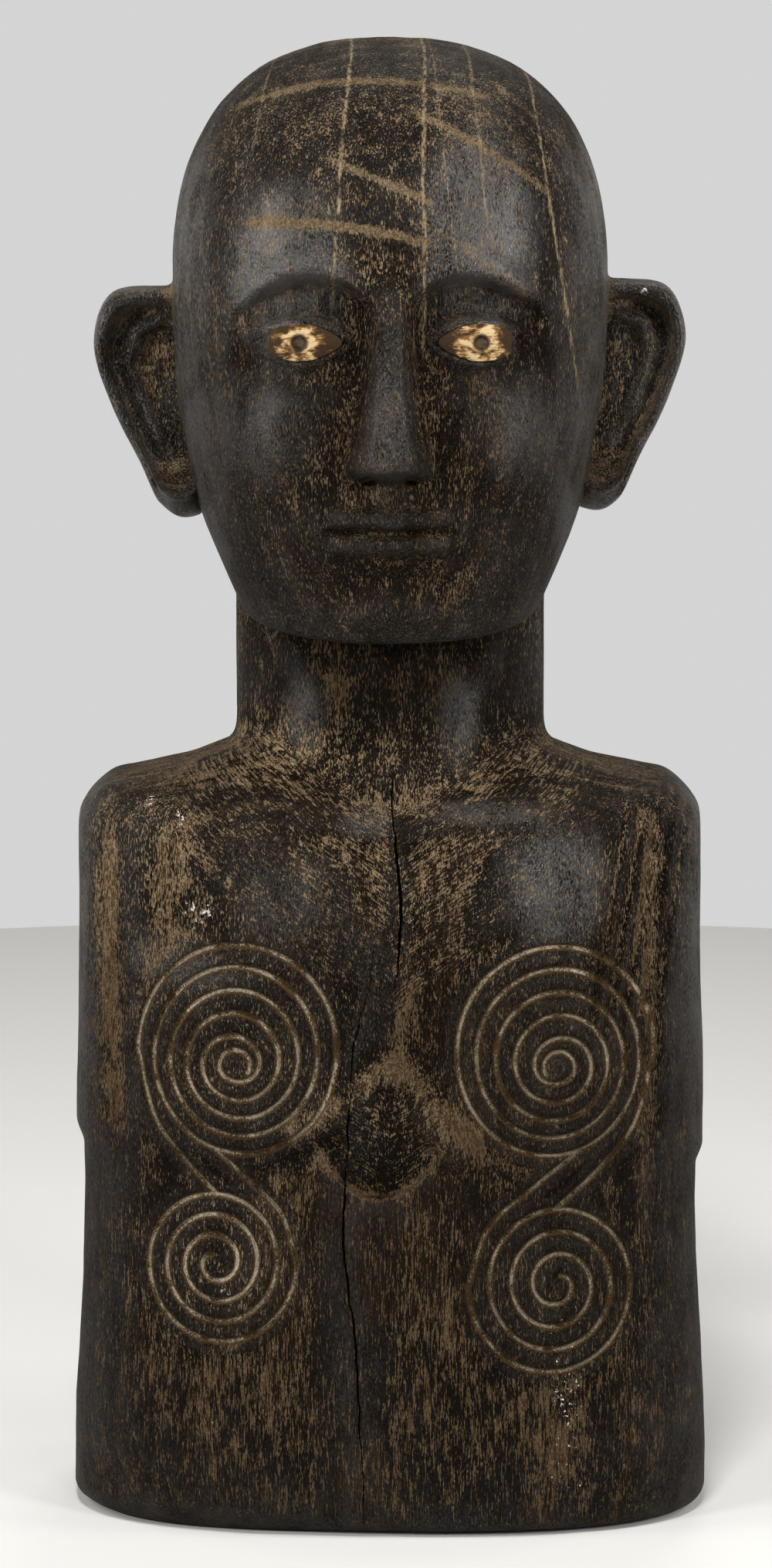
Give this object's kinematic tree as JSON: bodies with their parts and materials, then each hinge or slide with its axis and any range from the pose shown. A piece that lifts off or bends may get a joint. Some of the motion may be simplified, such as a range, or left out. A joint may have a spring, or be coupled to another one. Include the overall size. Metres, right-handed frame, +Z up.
{
  "type": "carved wooden bust",
  "caption": "Bald carved wood bust with spread ears, inlaid eyes, round neck and a limbless trunk cut flat below, its chest incised with joined spirals.",
  "frame": {"origin": "middle of the flat underside, where the bust stands", "axes": "+Z up through the crown, the face looks along -Y, +X to the right of someone facing it"},
  "size_m": [0.264, 0.2006, 0.6],
  "materials": {
    "wood": "dark, hand-rubbed hardwood with open pores, brown dust in the carving and a soft sheen on the high places",
    "inlay": null
  },
  "bodies": {
    "root": {"bust": "wood", "left_eye_inlay": "inlay", "right_eye_inlay": "inlay"}
  },
  "joints": []
}
